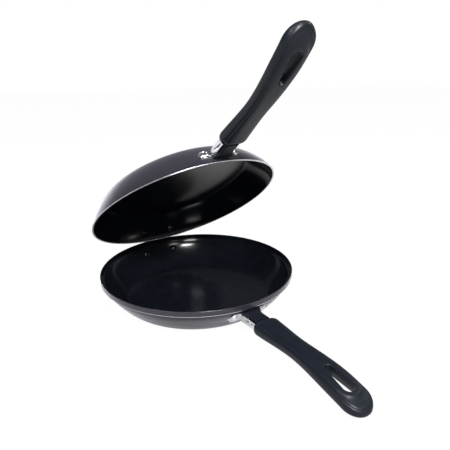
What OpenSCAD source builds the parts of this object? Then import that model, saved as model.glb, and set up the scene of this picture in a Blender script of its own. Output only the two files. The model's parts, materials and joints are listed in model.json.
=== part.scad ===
// Double sided flip pan: two shallow frying pans that close on each other.
// The lower pan has a rim band, and the rim of the upper pan nests inside it
// on a ledge. A pin hinge joins the pans at the back, and each pan has its own
// handle at the front: a riveted steel bracket that carries a moulded grip.
//
// Frame: origin at the centre of the lower base, +Z up, handles towards -Y,
// hinge at +Y with its pin along X. Every piece of a pan is drawn in that
// pan's own frame, with z = 0 on the plane where the two pans meet, the base
// below it at z = -pan_h, and the handle along -Y.

/* [Pans] */
// Diameter over the rim of the lower pan
rim_d = 240; // [200:1:280]
// Height of each pan from its base to the plane where the pans meet
pan_h = 33.5; // [28:0.5:45]
// Radius of the flat base
base_r = 90; // [74:1:96]
// Thickness of the side walls
wall_t = 2.2; // [1.6:0.1:3]
// Thickness of the base
base_t = 2.8; // [2:0.1:4]
// Shape of the side walls, 1 is a quarter round and 2 is a plain cone
wall_shape = 1.6; // [1.2:0.1:1.8]
// Number of grooves turned in each base
groove_n = 5; // [1:1:6]
// Depth of those grooves
groove_depth = 0.4; // [0.2:0.1:0.8]
// Width of those grooves
groove_w = 2.4; // [1:0.2:4]

/* [Rim] */
// Height of the rim band above the ledge that carries the upper rim
band_h = 5; // [4:0.5:7]
// Thickness of the rim band
band_t = 1.6; // [1.2:0.1:2]
// Height of the outside of the band below the ledge
band_drop = 2; // [1.5:0.5:3]
// Step from the outside of the band in to the side wall
band_step = 3; // [2.5:0.1:4]
// Rounding of the rim edges
rim_edge = 0.5; // [0.3:0.1:0.7]
// Clearance around the upper rim, inside the band
rim_gap = 0.4; // [0.3:0.1:1]
// Clearance between the closed upper rim and the ledge
seat_gap = 0.3; // [0.3:0.1:0.6]

/* [Hinge] */
// Angle at which the upper pan stands open here
open_deg = 37.5; // [0:0.5:140]
// Distance of the pin axis behind the rim
pin_back = 4.2; // [4.2:0.1:8]
// Radius of the hinge pin
pin_r = 1.75; // [1.5:0.05:2]
// Radial clearance of the pin in its bores
pin_fit = 0.05; // [0.02:0.01:0.09]
// Radius of the round end of a hinge lug
boss_r = 3.6; // [3:0.1:3.8]
// Thickness of the hinge lugs
lug_t = 2; // [1.5:0.1:2.5]
// Distance between the outer faces of the two lower lugs
lug_span = 28; // [24:1:34]
// Side clearance between a lower lug and the upper lug beside it
lug_gap = 0.4; // [0.3:0.1:0.6]
// Side clearance on each face of a hinge washer
washer_gap = 0.2; // [0.1:0.05:0.3]
// Radius of the hinge washers
washer_r = 3.7; // [3:0.1:4]
// Thickness of the hinge washers
washer_t = 0.8; // [0.5:0.1:1.2]
// Radius of the two heads of the pin
pin_head_r = 3.2; // [2.6:0.1:3.6]
// Thickness of the two heads of the pin
pin_head_t = 1.5; // [1:0.1:2]
// Distance of each hinge rivet from the middle plane
hinge_rivet_x = 21; // [20:0.5:26]
// Depth of the hinge rivets below the plane where the pans meet
hinge_rivet_drop = 11; // [10:0.5:14]

/* [Plates and rivets] */
// Thickness of the sheet steel of the brackets
plate_t = 1.6; // [1.2:0.1:2]
// Gap between a riveted plate and the pan wall
plate_gap = 0.08; // [0.05:0.01:0.15]
// Half height of a riveted ear
ear_r = 6.5; // [5.5:0.1:7.5]
// Radius of a rivet shank
rivet_r = 2.4; // [2:0.1:3]
// Radius of a rivet head
rivet_head_r = 4.2; // [3.6:0.1:5]
// Height of a rivet head outside the pan
rivet_head_h = 1.8; // [1.2:0.1:2.4]
// Height of a rivet head inside the pan
inner_head_h = 1.1; // [0.7:0.1:1.6]
// Clearance around a rivet shank
rivet_fit = 0.05; // [0.02:0.01:0.1]
// Clearance under a rivet head outside the pan
head_gap = 0.2; // [0.15:0.05:0.3]
// Clearance under a flat rivet head inside the pan, where the wall is hollow
inner_head_gap = 0.4; // [0.4:0.05:0.6]

/* [Handle bracket] */
// Outer width of the channel
channel_w = 20.4; // [18:0.2:24]
// Depth of the nearer edge of the channel below the plane where the pans meet
channel_top = 8.3; // [8:0.1:10]
// Depth of the web of the channel, its outer face
channel_bottom = 16.5; // [15:0.5:18]
// Reach of the channel beyond the rim
channel_reach = 44; // [38:1:56]
// Distance of each handle rivet from the side of the channel
ear_out = 6.8; // [6:0.1:10]
// Depth of the handle rivets below the plane where the pans meet
ear_drop = 12.5; // [11:0.5:14]

/* [Grip] */
// Reach of the tip of the grip beyond the rim
grip_reach = 163.5; // [160:0.5:200]
// Start of the shoulders of the grip, beyond the rim
shoulder_at = 20; // [18:1:26]
// Width of the grip at its shoulders
shoulder_w = 30.5; // [28:0.5:36]
// Place of the narrow waist, beyond the rim
waist_at = 74; // [60:1:86]
// Width of the grip at its waist
waist_w = 24.5; // [22:0.5:30]
// Place of the widest part, beyond the rim
palm_at = 132; // [120:1:145]
// Width of the grip at its widest part
palm_w = 30.5; // [26:0.5:36]
// Thickness of the grip at the shoulders
shoulder_t = 16; // [15:0.5:20]
// Thickness of the grip at its waist
waist_t = 13.5; // [12:0.5:18]
// Thickness of the grip at its widest part
palm_t = 15; // [12:0.5:18]
// Depth of the centre line below the plane where the pans meet
grip_drop = 12.2; // [12:0.1:14]
// How much further the centre line drops towards the tip
tip_drop = 13.5; // [4:0.5:15]
// Length of the rounded tip
tip_len = 17; // [15:0.5:18]
// Side clearance of the moulded neck between the arms of the channel
neck_gap = 0.8; // [0.4:0.1:1.6]
// Width of the foot of the neck against the pan
foot_w = 24; // [18:0.5:26]
// Reach of that foot beyond the rim
foot_reach = 7.5; // [5:0.5:12]
// Depth of the inner face of the neck below the plane where the pans meet
neck_top = 5; // [5:0.1:7]
// Clearance around the bracket inside the grip
grip_fit = 0.2; // [0.15:0.05:0.3]
// Middle of the narrow end of the hanging slot, beyond the rim
slot_from = 116; // [108:1:120]
// Middle of the wide end of the hanging slot, beyond the rim
slot_to = 139.5; // [132:0.5:141]
// Radius of the narrow end of the hanging slot
slot_r_from = 3.6; // [3:0.1:4.5]
// Radius of the wide end of the hanging slot
slot_r_to = 6.3; // [5:0.1:7]
// Thickness of the grip around the slot, inside the recess in its outer face
slot_land = 6.5; // [6:0.5:9]
// Width of that recess all round the slot
slot_recess = 2.6; // [2:0.1:3]
// Start of the thumb dish in the inner face, beyond the rim
dish_at = 150; // [149:0.5:152]
// Depth of the thumb dish
dish_depth = 1.6; // [0.8:0.1:2.4]

/* [Handle screw] */
// Place of the screw, beyond the rim
screw_at = 36; // [34:1:40]
// Radius of the screw shank
screw_r = 2; // [1.5:0.1:2.5]
// Radius of the screw head
screw_head_r = 3.8; // [3:0.1:4.4]
// Height of the screw head
screw_head_h = 2.2; // [1.6:0.1:2.6]
// Bevel around the screw head
screw_head_bevel = 0.8; // [0.4:0.1:1.2]
// Width of the cross slots in the screw head
drive_w = 0.9; // [0.6:0.1:1.4]
// Thickness of the grip between the web of the channel and the screw head
head_land = 1; // [0.8:0.1:1.4]
// Width of the nut across its flats
nut_af = 7; // [6:0.5:8]
// Thickness of the nut
nut_t = 3.2; // [2.4:0.1:4]
// Clearance around the screw and the nut
screw_fit = 0.15; // [0.1:0.05:0.3]
// Clearance between the screw and the bore of the nut
thread_fit = 0.05; // [0.02:0.01:0.09]

/* [Hidden] */

rim_r = rim_d / 2;
wall_steps = 10;
round_fn = 64;
// Overlap of joined shapes, and of a cutter past a face
small = 0.01;
// Long enough to cut through any piece
through = 2 * pan_h;
// Where a strip that ends on a pan wall starts, before the wall cuts it
behind_wall = -rim_r / 2;

// A wall is given by its top: outer radius and depth below the meeting plane
lower_wall = [rim_r - band_step, band_drop];
upper_wall = [rim_r - band_t - rim_gap, 0];
floor_depth = pan_h - base_t;

pin_y = rim_r + pin_back;
lower_pin_z = band_h;
upper_pin_z = -(band_h - seat_gap);
lug_out = lug_span / 2;
upper_lug_out = lug_out - lug_t - lug_gap;

arm_in = channel_w / 2 - plate_t;
ear_x = channel_w / 2 + ear_out;
neck_w = 2 * (arm_in - neck_gap);
// Depths of what the handle screw holds
head_seat = channel_bottom + head_land;
nut_seat = channel_bottom - plate_t;
screw_tip = nut_seat - nut_t - screw_fit;

steel = [0.80, 0.81, 0.83];
satin_grey = [0.34, 0.33, 0.37];
moulded_black = [0.10, 0.11, 0.13];

// ---- Side walls --------------------------------------------------------

function lerp(a, b, u) = a + (b - a) * u;
function span(s, a, b) = min(1, max(0, (s - a) / (b - a)));
function ease(u) = u * u * (3 - 2 * u);

// Parameter of the wall curve at a depth, 0 at its top and 90 at the bottom
function wall_q(depth, wall, bottom = pan_h) =
    asin(pow((depth - wall[1]) / (bottom - wall[1]), 1 / wall_shape));
function wall_r(q, wall) = base_r + (wall[0] - base_r) * pow(cos(q), wall_shape);
function wall_depth(q, wall, bottom) =
    wall[1] + (bottom - wall[1]) * pow(sin(q), wall_shape);
// Lean of the wall from upright
function wall_tilt(q, wall) =
    atan((wall[0] - base_r) / (pan_h - wall[1]) * pow(tan(q), 2 - wall_shape));
// Point of the outside of the wall, pushed outwards by off
function wall_point(q, wall, off = 0) = [
    wall_r(q, wall) + off * cos(wall_tilt(q, wall)),
    -wall_depth(q, wall, pan_h) - off * sin(wall_tilt(q, wall))
];
// Outside of the wall from its base up to its top, pushed outwards by off
function wall_outside(wall, off = 0) = [
    for (i = [wall_steps : -1 : 0]) wall_point(90 * i / wall_steps, wall, off)
];
// Top of the inside of a wall
function inner_top(wall) = [wall[0] - wall_t, 0];
// Inside of the wall from its top down to the floor
function wall_inside(wall) = let (inner = inner_top(wall)) [
    for (i = [0 : wall_steps])
        [wall_r(90 * i / wall_steps, inner), -wall_depth(90 * i / wall_steps, inner, floor_depth)]
];
// Thickness of the wall at a depth, square to its outside
function thickness(depth, wall) = let (
    q_out = wall_q(depth, wall),
    q_in = wall_q(depth, inner_top(wall), floor_depth)
) (wall_r(q_out, wall) - wall_r(q_in, inner_top(wall))) * cos(wall_tilt(q_out, wall));

// ---- Placing -------------------------------------------------------------

module lower_place() {
    translate([0, 0, pan_h]) children();
}

// Closed position first, then turned open about the pin
module upper_place() {
    translate([0, pin_y, pan_h + band_h])
        rotate([-open_deg, 0, 0])
            translate([0, -pin_y, upper_pin_z])
                mirror([0, 0, 1]) children();
}

// A point on the outside of a wall, with +Z along its outward normal
module on_wall(x, depth, wall, back = false) {
    q = wall_q(depth, wall);
    r = wall_r(q, wall);
    side = asin(x / r);
    rotate([0, 0, back ? 90 - side : -90 + side])
        translate([r, 0, -depth])
            rotate([0, 90 + wall_tilt(q, wall), 0]) children();
}

// ---- Pans ------------------------------------------------------------------

module grooves() {
    pitch = base_r / (groove_n + 1);
    for (i = [1 : groove_n])
        rotate_extrude($fn = round_fn)
            translate([i * pitch - groove_w / 2, -pan_h - small])
                square([groove_w, groove_depth + small]);
}

module rivet_holes(wall) {
    for (side = [-1, 1]) {
        on_wall(side * ear_x, ear_drop, wall) rivet_hole();
        on_wall(side * hinge_rivet_x, hinge_rivet_drop, wall, true) rivet_hole();
    }
}

module rivet_hole() {
    reach = 2 * (wall_t + plate_t);
    cylinder(r = rivet_r + rivet_fit, h = 2 * reach, center = true, $fn = round_fn);
}

module lower_pan() {
    inside_r = rim_r - band_t;
    color(satin_grey)
        lower_place() difference() {
            rotate_extrude($fn = round_fn) polygon(concat(
                [[0, -pan_h]],
                wall_outside(lower_wall),
                [
                    [rim_r - rim_edge, -band_drop],
                    [rim_r, -band_drop + rim_edge],
                    [rim_r, band_h - rim_edge],
                    [rim_r - rim_edge, band_h],
                    [inside_r + rim_edge / 2, band_h],
                    [inside_r, band_h - rim_edge / 2],
                    [inside_r, 0]
                ],
                wall_inside(lower_wall),
                [[0, -floor_depth]]
            ));
            grooves();
            rivet_holes(lower_wall);
        }
}

module upper_pan() {
    color(satin_grey)
        upper_place() difference() {
            rotate_extrude($fn = round_fn) polygon(concat(
                [[0, -pan_h]],
                wall_outside(upper_wall),
                wall_inside(upper_wall),
                [[0, -floor_depth]]
            ));
            grooves();
            rivet_holes(upper_wall);
        }
}

// Everything that a piece outside the pan must stay clear of
module pan_envelope(wall, clear, band) {
    rotate_extrude($fn = round_fn) polygon(concat(
        [[0, -pan_h - clear]],
        wall_outside(wall, clear),
        band
            ? [[rim_r + clear, -band_drop - clear], [rim_r + clear, band_h + clear]]
            : [[wall[0] + clear, pan_h]],
        [[0, band ? band_h + clear : pan_h]]
    ));
}

// ---- Riveted plates -----------------------------------------------------

// Sheet that lies on the outside of a wall, all the way round
module wall_sheet(wall) {
    plate_from = 6;
    plate_to = 84;
    qs = [for (i = [0 : wall_steps]) lerp(plate_from, plate_to, i / wall_steps)];
    rotate_extrude($fn = round_fn) polygon(concat(
        [for (q = qs) wall_point(q, wall, plate_gap)],
        [for (i = [wall_steps : -1 : 0]) wall_point(qs[i], wall, plate_gap + plate_t)]
    ));
}

// Two ears joined by a strip, cut out of the sheet on the front or the back
module ears(wall, x, depth, back) {
    dir = back ? 1 : -1;
    intersection() {
        wall_sheet(wall);
        union() {
            for (side = [-1, 1])
                translate([side * x, 0, -depth])
                    rotate([-90 * dir, 0, 0])
                        cylinder(r = ear_r, h = rim_r + band_step, $fn = round_fn);
            translate([-x, dir > 0 ? 0 : -rim_r - band_step, -depth - ear_r])
                cube([2 * x, rim_r + band_step, 2 * ear_r]);
        }
    }
}

module ear_holes(wall, x, depth, back) {
    for (side = [-1, 1])
        on_wall(side * x, depth, wall, back) rivet_hole();
}

// Rivet through the plate and a wall of some thickness, with a domed head on each side
module rivet(thick) {
    out = plate_gap + plate_t + head_gap;
    in = -thick - inner_head_gap;
    translate([0, 0, in - small])
        cylinder(r = rivet_r, h = out - in + 2 * small, $fn = round_fn);
    translate([0, 0, out]) rivet_dome(rivet_head_r, rivet_head_h);
    translate([0, 0, in]) mirror([0, 0, 1]) rivet_dome(rivet_head_r, inner_head_h);
}

module rivet_dome(r, h) {
    ball = (r * r + h * h) / (2 * h);
    intersection() {
        translate([0, 0, h - ball]) sphere(r = ball, $fn = round_fn);
        cylinder(r = r, h = h, $fn = round_fn);
    }
}

// ---- Handle bracket ------------------------------------------------------

function out_y(s) = -(rim_r + s);

// Box that reaches from s0 to s1 beyond the rim, between two depths
module strip(x0, x1, s0, s1, d0, d1) {
    translate([x0, out_y(s1), -d1]) cube([x1 - x0, s1 - s0, d1 - d0]);
}

module channel(grow, s0, s1) {
    half = channel_w / 2;
    for (side = [0, 1]) mirror([side, 0, 0])
        strip(arm_in - grow, half + grow, s0, s1, channel_top - grow, channel_bottom + grow);
    strip(-half - grow, half + grow, s0, s1, channel_bottom - plate_t - grow, channel_bottom + grow);
}

module handle_bracket(wall, band) {
    color(steel) difference() {
        union() {
            difference() {
                channel(0, behind_wall, channel_reach);
                pan_envelope(wall, plate_gap, band);
            }
            difference() {
                ears(wall, ear_x, ear_drop, false);
                strip(-arm_in, arm_in, -rim_r, 0, channel_top - ear_r, pan_h);
            }
        }
        ear_holes(wall, ear_x, ear_drop, false);
        screw_hole();
    }
}

// Blind hole from below, with room past the tip of the screw
module screw_hole() {
    translate([0, out_y(screw_at), -through])
        cylinder(r = screw_r + screw_fit, h = through - screw_tip + screw_r, $fn = round_fn);
}

// ---- Grip ------------------------------------------------------------------

function grip_w(s) = s < waist_at
    ? lerp(shoulder_w, waist_w, ease(span(s, shoulder_at, waist_at)))
    : lerp(waist_w, palm_w, ease(span(s, waist_at, palm_at)));
function grip_t(s) = s < waist_at
    ? lerp(shoulder_t, waist_t, ease(span(s, shoulder_at, waist_at)))
    : lerp(waist_t, palm_t, ease(span(s, waist_at, palm_at)));
function grip_mid(s) = grip_drop + tip_drop * pow(span(s, waist_at, grip_reach), 2);
// Depth of the inner face
function grip_inner(s) = grip_mid(s) - grip_t(s) / 2;

tip_steps = 8;
body_steps = 12;
ring_n = 24;
// Squareness of the inner and outer half of a section, 2 is round
inner_power = 3.4;
outer_power = 2.4;
// The dish starts and ends over short slopes, this far inside the tip
dish_slope = 3;
dish_border = 3;
// Half of the angle that the dish takes of a section
dish_span = 30;
shoulder_len = 8;
shoulder_steps = 4;
// Shares of the width and thickness left at the flat shoulder face and tip
shoulder_face = 0.72;
tip_face = 0.06;

// Round ends: 1 in the body, shoulder_face at the shoulder, tip_face at the tip
function grip_end(s) = s < shoulder_at + shoulder_len
    ? lerp(shoulder_face, 1, sin(90 * span(s, shoulder_at, shoulder_at + shoulder_len)))
    : max(tip_face, sqrt(1 - pow(span(s, grip_reach - tip_len, grip_reach), 2)));

grip_stations = concat(
    [for (i = [0 : shoulder_steps - 1]) shoulder_at + shoulder_len * (1 - cos(90 * i / shoulder_steps))],
    [for (i = [0 : body_steps - 1])
        lerp(shoulder_at + shoulder_len, grip_reach - tip_len, i / body_steps)],
    [for (i = [0 : tip_steps]) grip_reach - tip_len * (1 - sin(90 * i / tip_steps))]
);

function dish(s) = dish_depth * ease(span(s, dish_at, dish_at + dish_slope))
    * (1 - ease(span(s, grip_reach - dish_border - dish_slope, grip_reach - dish_border)));

function soft_sign(v, power) = sign(v) * pow(abs(v), 2 / power);
function grip_ring(s) = [
    for (i = [0 : ring_n - 1]) let (
        a = 360 * i / ring_n,
        power = a <= 180 ? inner_power : outer_power,
        sink = abs(a - 90) <= dish_span ? dish(s) : 0
    )
        [grip_end(s) * grip_w(s) / 2 * soft_sign(cos(a), power),
         out_y(s),
         -grip_mid(s) + grip_end(s) * grip_t(s) / 2 * soft_sign(sin(a), power) - sink]
];

// Skin through a row of rings, closed by a flat face at each end
module loft(rings) {
    n = len(rings[0]);
    last = len(rings) - 1;
    polyhedron(
        points = [for (ring = rings) each ring],
        faces = concat(
            [[for (i = [0 : n - 1]) i]],
            [for (k = [0 : last - 1]) for (i = [0 : n - 1]) each [
                [k * n + i, (k + 1) * n + i, (k + 1) * n + (i + 1) % n],
                [k * n + i, (k + 1) * n + (i + 1) % n, k * n + (i + 1) % n]
            ]],
            [[for (i = [n - 1 : -1 : 0]) last * n + i]]
        )
    );
}

// Outline of the hanging slot between its two round ends, widened all round
module slot_outline(wider) {
    r_from = slot_r_from + wider;
    r_to = slot_r_to + wider;
    lean = acos((r_to - r_from) / (slot_to - slot_from));
    translate([0, out_y(slot_from)]) circle(r = r_from, $fn = round_fn);
    translate([0, out_y(slot_to)]) circle(r = r_to, $fn = round_fn);
    polygon([
        [-r_from * sin(lean), out_y(slot_from) + r_from * cos(lean)],
        [r_from * sin(lean), out_y(slot_from) + r_from * cos(lean)],
        [r_to * sin(lean), out_y(slot_to) + r_to * cos(lean)],
        [-r_to * sin(lean), out_y(slot_to) + r_to * cos(lean)]
    ]);
}

// The slot goes right through, and its recess leaves the land under the inner face
module hanging_slot() {
    centre = (slot_from + slot_to) / 2;
    fall = atan((grip_inner(slot_to) - grip_inner(slot_from)) / (slot_to - slot_from));
    translate([0, 0, -through]) linear_extrude(through) slot_outline(0);
    translate([0, out_y(centre), -grip_inner(centre) - slot_land])
        rotate([fall, 0, 0])
            translate([0, -out_y(centre), -through]) linear_extrude(through) slot_outline(slot_recess);
}

module grip(wall, band) {
    neck_bottom = channel_bottom - plate_t - grip_fit;
    foot_bottom = channel_top - grip_fit;
    color(moulded_black) difference() {
        union() {
            loft([for (s = grip_stations) grip_ring(s)]);
            strip(-neck_w / 2, neck_w / 2, behind_wall, shoulder_at + shoulder_len, neck_top, neck_bottom);
            strip(-foot_w / 2, foot_w / 2, behind_wall, foot_reach, neck_top, foot_bottom);
        }
        pan_envelope(wall, plate_gap + plate_t + seat_gap, band);
        channel(grip_fit, shoulder_at - shoulder_len, channel_reach + grip_fit);
        hanging_slot();
        screw_hole();
        screw_head_pocket();
        nut_pocket();
    }
}

// ---- Handle screw and nut ----------------------------------------------------

module screw_head_pocket() {
    translate([0, out_y(screw_at), -through])
        cylinder(r = screw_head_r + screw_fit, h = through - head_seat, $fn = round_fn);
}

module nut_pocket() {
    translate([0, out_y(screw_at), -nut_seat - grip_fit])
        cylinder(d = nut_af / cos(30) + 2 * screw_fit, h = nut_t + 2 * grip_fit, $fn = round_fn);
}

module handle_screw() {
    half_h = screw_head_h / 2;
    color(steel) translate([0, out_y(screw_at), 0]) difference() {
        union() {
            translate([0, 0, -head_seat - screw_head_h])
                cylinder(r1 = screw_head_r - screw_head_bevel, r2 = screw_head_r, h = half_h, $fn = round_fn);
            translate([0, 0, -head_seat - half_h])
                cylinder(r = screw_head_r, h = half_h, $fn = round_fn);
            translate([0, 0, -head_seat - small])
                cylinder(r = screw_r, h = head_seat - screw_tip + small, $fn = round_fn);
        }
        for (turn = [0, 90]) rotate([0, 0, turn])
            translate([-screw_r, -drive_w / 2, -head_seat - screw_head_h - small])
                cube([2 * screw_r, drive_w, half_h]);
    }
}

module handle_nut() {
    color(steel) translate([0, out_y(screw_at), -nut_seat + plate_gap]) difference() {
        cylinder(d = nut_af / cos(30), h = nut_t, $fn = 6);
        translate([0, 0, -small])
            cylinder(r = screw_r + thread_fit, h = nut_t + 2 * small, $fn = round_fn);
    }
}

// ---- Hinge -----------------------------------------------------------------

// Point where the tangent from a point to a circle touches it, on the far side
function touch(from, centre, r) = let (
    way = centre - from,
    lean = atan2(way[1], way[0]) - asin(r / norm(way)),
    reach = sqrt(way * way - r * r)
) from + reach * [cos(lean), sin(lean)];

// Side view of a lug: a round end on the pin, and a root on the riveted plate.
// Its flat edge lies at the height edge_z, clear of the band when the pans close.
module lug_side(wall, pin_z, edge_z) {
    pin = [pin_y, pin_z];
    root_y = wall_r(wall_q(hinge_rivet_drop + ear_r, wall), wall);
    root = [root_y, -hinge_rivet_drop - ear_r];
    difference() {
        union() {
            translate(pin) circle(r = boss_r, $fn = round_fn);
            polygon([root, touch(root, pin, boss_r), [pin_y, edge_z], [root_y, edge_z]]);
        }
        translate(pin) circle(r = pin_r + pin_fit, $fn = round_fn);
    }
}

// Pair of lugs, whose outer faces stand at out from the middle
module lugs(wall, out, pin_z, edge_z) {
    for (side = [0, 1]) mirror([side, 0, 0])
        translate([out - lug_t, 0, 0])
            rotate([90, 0, 90])
                linear_extrude(lug_t) lug_side(wall, pin_z, edge_z);
}

module hinge_bracket(wall, band, out, pin_z, edge_z) {
    color(steel) difference() {
        union() {
            difference() {
                lugs(wall, out, pin_z, edge_z);
                pan_envelope(wall, plate_gap, band);
            }
            ears(wall, hinge_rivet_x, hinge_rivet_drop, true);
        }
        ear_holes(wall, hinge_rivet_x, hinge_rivet_drop, true);
    }
}

module hinge_pin() {
    half = lug_out + washer_t + 2 * washer_gap;
    color(steel) lower_place() translate([0, pin_y, lower_pin_z]) rotate([0, 90, 0]) {
        cylinder(r = pin_r, h = 2 * half, center = true, $fn = round_fn);
        for (side = [0, 1]) mirror([0, 0, side]) {
            translate([0, 0, half - small])
                cylinder(r = pin_head_r, h = pin_head_t / 2, $fn = round_fn);
            translate([0, 0, half + pin_head_t / 2 - 2 * small])
                cylinder(r1 = pin_head_r, r2 = pin_head_r - pin_head_t / 2, h = pin_head_t / 2,
                         $fn = round_fn);
        }
    }
}

module hinge_washer(side) {
    color(steel) lower_place()
        translate([side * (lug_out + washer_gap + washer_t / 2), pin_y, lower_pin_z])
            rotate([0, 90, 0]) difference() {
                cylinder(r = washer_r, h = washer_t, center = true, $fn = round_fn);
                cylinder(r = pin_r + pin_fit, h = 2 * washer_t, center = true, $fn = round_fn);
            }
}

// ---- Nodes -------------------------------------------------------------------

module handle_rivet(side, wall) {
    color(steel) on_wall(side * ear_x, ear_drop, wall) rivet(thickness(ear_drop, wall));
}

module hinge_rivet(side, wall) {
    color(steel) on_wall(side * hinge_rivet_x, hinge_rivet_drop, wall, true)
        rivet(thickness(hinge_rivet_drop, wall));
}

module lower_hinge_bracket() {
    lower_place() hinge_bracket(lower_wall, true, lug_out, lower_pin_z, lower_pin_z);
}

module upper_hinge_bracket() {
    upper_place() hinge_bracket(upper_wall, false, upper_lug_out, upper_pin_z, upper_pin_z - seat_gap);
}

lower_pan();
lower_place() handle_bracket(lower_wall, true);  // lower_handle_bracket
lower_place() grip(lower_wall, true);  // lower_grip
lower_place() handle_screw();  // lower_handle_screw
lower_place() handle_nut();  // lower_handle_nut
lower_place() handle_rivet(-1, lower_wall);  // lower_handle_rivet_left
lower_place() handle_rivet(1, lower_wall);  // lower_handle_rivet_right
lower_hinge_bracket();
lower_place() hinge_rivet(-1, lower_wall);  // lower_hinge_rivet_left
lower_place() hinge_rivet(1, lower_wall);  // lower_hinge_rivet_right
hinge_pin();
hinge_washer(-1);  // hinge_washer_left
hinge_washer(1);  // hinge_washer_right
upper_pan();
upper_place() handle_bracket(upper_wall, false);  // upper_handle_bracket
upper_place() grip(upper_wall, false);  // upper_grip
upper_place() handle_screw();  // upper_handle_screw
upper_place() handle_nut();  // upper_handle_nut
upper_place() handle_rivet(-1, upper_wall);  // upper_handle_rivet_left
upper_place() handle_rivet(1, upper_wall);  // upper_handle_rivet_right
upper_hinge_bracket();
upper_place() hinge_rivet(-1, upper_wall);  // upper_hinge_rivet_left
upper_place() hinge_rivet(1, upper_wall);  // upper_hinge_rivet_right
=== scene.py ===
"""Looks of the double sided flip pan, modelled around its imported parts.

A new piece is drawn in its pan's own frame: z = 0 on the plane where the two pans meet, the base
below it, the handle along -Y. A placing matrix then puts it on the lower or the upper pan. The
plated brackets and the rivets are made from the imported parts, where they lie.
"""

import itertools
import json
import math

import bmesh
import bpy
from bpy.props import FloatProperty, FloatVectorProperty, IntProperty, PointerProperty
from mathutils import Matrix, Vector


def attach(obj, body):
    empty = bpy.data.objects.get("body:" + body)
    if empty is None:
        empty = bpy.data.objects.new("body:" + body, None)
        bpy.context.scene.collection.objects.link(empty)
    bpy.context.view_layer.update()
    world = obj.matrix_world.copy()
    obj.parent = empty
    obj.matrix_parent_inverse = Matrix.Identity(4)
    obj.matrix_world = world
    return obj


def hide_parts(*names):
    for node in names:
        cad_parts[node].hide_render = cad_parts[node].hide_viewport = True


bl_info = {
    "name": "Double Sided Flip Pan",
    "version": (1, 0, 0),
    "blender": (4, 5, 0),
    "location": "3D View > Sidebar > Flip Pan",
    "description": "Models two hinged frying pans with riveted brackets and moulded grips",
    "category": "Add Mesh",
}

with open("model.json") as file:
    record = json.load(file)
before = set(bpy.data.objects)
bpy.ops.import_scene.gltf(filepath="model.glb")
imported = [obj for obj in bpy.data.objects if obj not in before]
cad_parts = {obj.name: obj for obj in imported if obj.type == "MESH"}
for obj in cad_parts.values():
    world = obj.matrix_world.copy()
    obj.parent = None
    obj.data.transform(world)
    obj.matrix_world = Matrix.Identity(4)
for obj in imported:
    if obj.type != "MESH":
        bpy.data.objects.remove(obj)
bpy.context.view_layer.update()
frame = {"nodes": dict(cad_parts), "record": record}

HINGE = frame["record"]["behaviour"]["joints"][0]
PIN = Vector(HINGE["pos_m"])
OPEN_DEG = -HINGE["range_deg"][0]
MM = 0.001
JOIN_DIST = 1e-6
FINE_JOIN_DIST = 1e-7
TINY = 1e-6


# ---- Sizes and colours that a user would change ----


def length(name, description, default):
    """A size in metres, from a default in millimetres."""
    return FloatProperty(
        name=name, description=description, default=default * MM,
        unit="LENGTH", subtype="DISTANCE", precision=5,
    )


def angle(name, description, default):
    """An angle in radians, from a default in degrees."""
    return FloatProperty(
        name=name, description=description, default=math.radians(default), subtype="ANGLE"
    )


def number(name, description, default):
    return FloatProperty(name=name, description=description, default=default)


def colour(name, description, default):
    return FloatVectorProperty(
        name=name, description=description, default=default,
        subtype="COLOR", size=3, min=0.0, max=1.0,
    )


class FlipPanShape(bpy.types.PropertyGroup):
    """Sizes of the two pans."""

    rim_d: length("Rim diameter", "Diameter over the rim of the lower pan", 240)
    pan_h: length("Pan height", "Base to the plane where the pans meet", 33.5)
    base_r: length("Base radius", "Radius of the flat base", 90)
    wall_t: length("Wall thickness", "Thickness of the side walls", 2.2)
    base_t: length("Base thickness", "Thickness of the base", 2.8)
    wall_shape: number("Wall shape", "1 is a quarter round and 2 is a plain cone", 1.6)
    band_h: length("Band height", "Rim band above the ledge", 5)
    band_t: length("Band thickness", "Thickness of the rim band", 1.6)
    band_drop: length("Band drop", "Outside of the band below the ledge", 2)
    band_step: length("Band step", "From the outside of the band in to the wall", 3)
    rim_gap: length("Rim clearance", "Clearance around the upper rim inside the band", 0.4)
    seat_gap: length("Seat clearance", "Clearance between the upper rim and the ledge", 0.3)
    edge: length("Edge rounding", "Rounding of the rim edges", 0.5)
    bead: length("Bead rounding", "Rounding of the lower edge of the rim band", 1.0)
    bare_w: length("Bare width", "Bare metal round the outside of the upper rim", 1.0)
    groove_n: IntProperty(name="Grooves", description="Grooves turned in each base", default=5)
    groove_w: length("Groove width", "Width of the turned grooves", 2.4)
    groove_depth: length("Groove depth", "Depth of the turned grooves", 0.4)


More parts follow.
